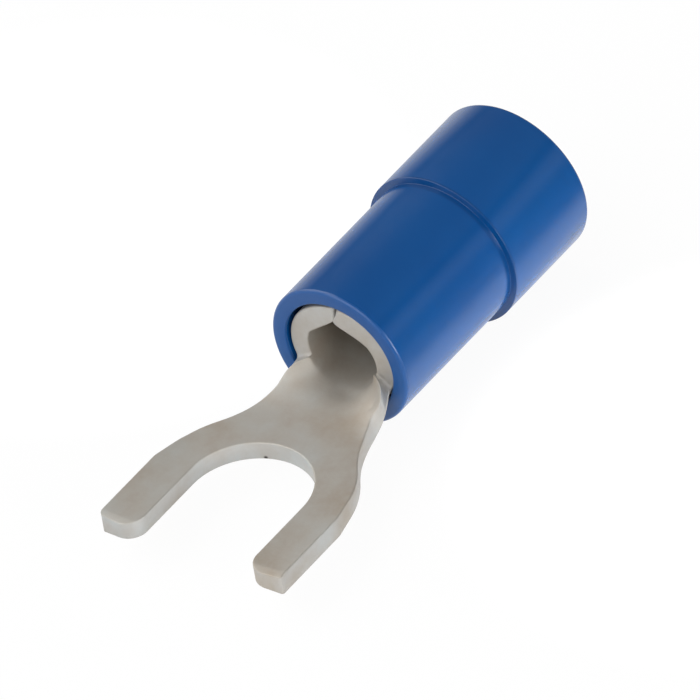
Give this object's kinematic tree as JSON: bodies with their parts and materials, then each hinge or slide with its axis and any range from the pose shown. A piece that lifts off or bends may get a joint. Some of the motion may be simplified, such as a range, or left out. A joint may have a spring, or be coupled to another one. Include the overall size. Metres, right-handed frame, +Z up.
{
  "type": "insulated fork terminal",
  "caption": "Crimp fork terminal: a tinned copper fork with a rolled, butt-seamed barrel in a stepped blue insulating sleeve with a funnel for the wire.",
  "frame": {"origin": "middle of the bounding box in plan, at the height of the sleeve's lowest line", "axes": "+X along the barrel's axis, from the wire entry to the fork's tips; +Y across the fork; +Z up, out of the tongue's upper face, with the barrel's seam on top"},
  "size_m": [0.0186, 0.007, 0.0056],
  "materials": {
    "tinned_copper": "satin, bright tin over copper",
    "blue_pvc": "moulded, soft gloss"
  },
  "bodies": {
    "root": {"fork_contact": "tinned_copper", "insulating_sleeve": "blue_pvc"}
  },
  "joints": []
}
